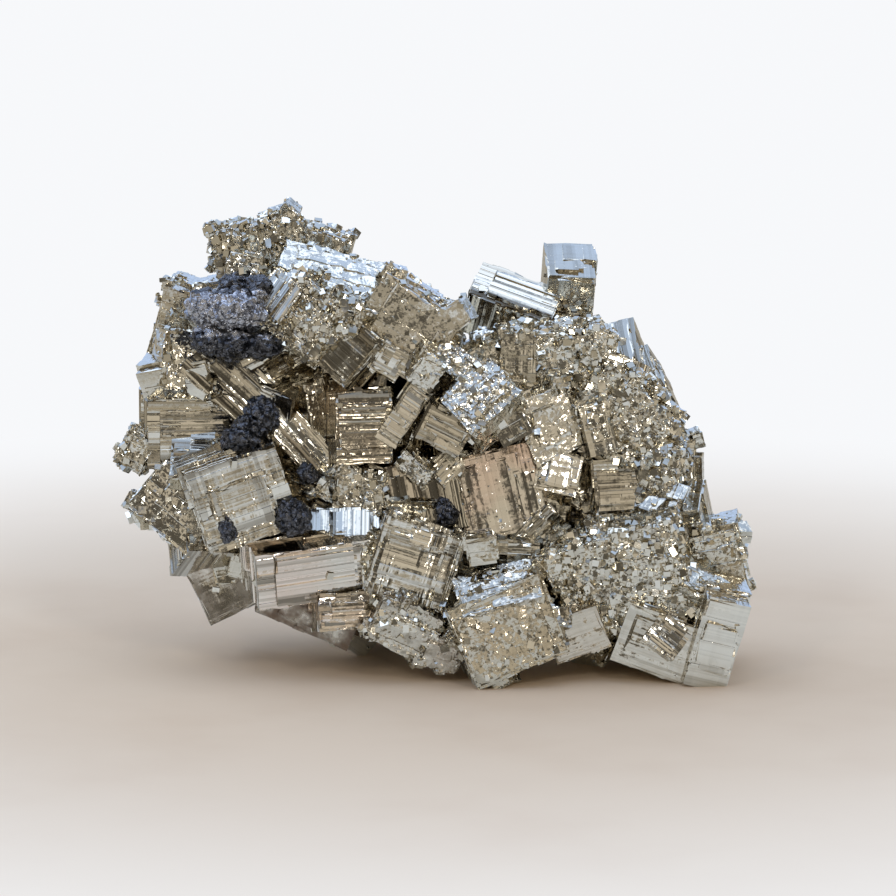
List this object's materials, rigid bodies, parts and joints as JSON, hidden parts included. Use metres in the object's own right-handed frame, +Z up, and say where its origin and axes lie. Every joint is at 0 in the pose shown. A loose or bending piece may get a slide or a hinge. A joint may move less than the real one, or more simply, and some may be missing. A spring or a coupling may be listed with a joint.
{
  "type": "pyrite crystal cluster",
  "caption": "Palm-sized cluster of intergrown striated pyrite cubes with grains of a dark mineral, resting on its lowest crystal tips.",
  "frame": {"origin": "middle of the base of the bounding box, on the surface that the cluster rests on", "axes": "+X along the longest extent, to the right of the side seen in the picture; +Y away from that side; +Z up"},
  "size_m": [0.0608, 0.0334, 0.0424],
  "materials": {
    "pyrite": "metallic pyrite with fine growth striations and bright druse",
    "dark_mineral": "dark, submetallic, rough"
  },
  "bodies": {
    "root": {"pyrite_cluster": "pyrite", "dark_crust": "dark_mineral", "dark_nodule_middle": "dark_mineral", "dark_nodule_lower": "dark_mineral", "dark_grain_left": "dark_mineral", "dark_grain_centre": "dark_mineral", "dark_grain_right": "dark_mineral"}
  },
  "joints": []
}
